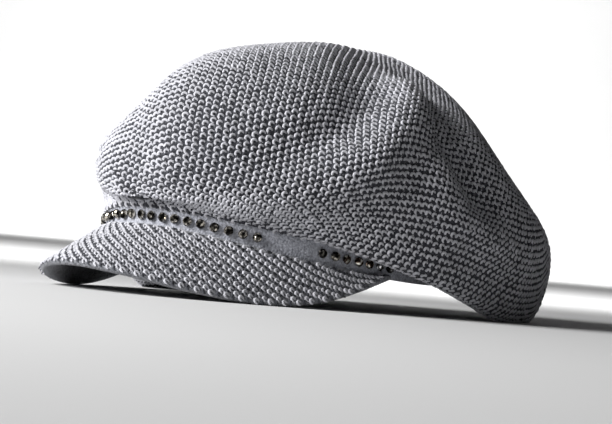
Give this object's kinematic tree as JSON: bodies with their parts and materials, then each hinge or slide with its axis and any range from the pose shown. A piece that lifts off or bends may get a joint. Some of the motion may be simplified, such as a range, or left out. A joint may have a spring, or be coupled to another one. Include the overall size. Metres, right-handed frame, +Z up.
{
  "type": "knitted peaked cap",
  "caption": "Slouchy two-tone knitted cap with a curved knitted peak, a plain band and a row of faceted stones over the peak.",
  "frame": {"origin": "on the floor under the middle of the cap's overall box", "axes": "+Z up, -Y towards the front of the peak, +X towards the wearer's left"},
  "size_m": [0.2254, 0.2936, 0.136],
  "materials": {
    "knit": "two-tone knit, matte",
    "peak_knit": "two-tone knit, matte",
    "band": "fine smooth knit, heather grey",
    "stone": "polished, faceted"
  },
  "bodies": {
    "root": {"crown": "knit", "band": "band", "peak": "peak_knit", "stone_01": "stone", "stone_02": "stone", "stone_03": "stone", "stone_04": "stone", "stone_05": "stone", "stone_06": "stone", "stone_07": "stone", "stone_08": "stone", "stone_09": "stone", "stone_10": "stone", "stone_11": "stone", "stone_12": "stone", "stone_13": "stone", "stone_14": "stone", "stone_15": "stone", "stone_16": "stone", "stone_17": "stone", "stone_18": "stone", "stone_19": "stone", "stone_20": "stone", "stone_21": "stone", "stone_22": "stone", "stone_23": "stone", "stone_24": "stone", "stone_25": "stone", "stone_26": "stone", "stone_27": "stone", "stone_28": "stone", "stone_29": "stone", "stone_30": "stone", "stone_31": "stone", "stone_32": "stone", "stone_33": "stone", "stone_34": "stone", "stone_35": "stone", "stone_36": "stone"}
  },
  "joints": []
}
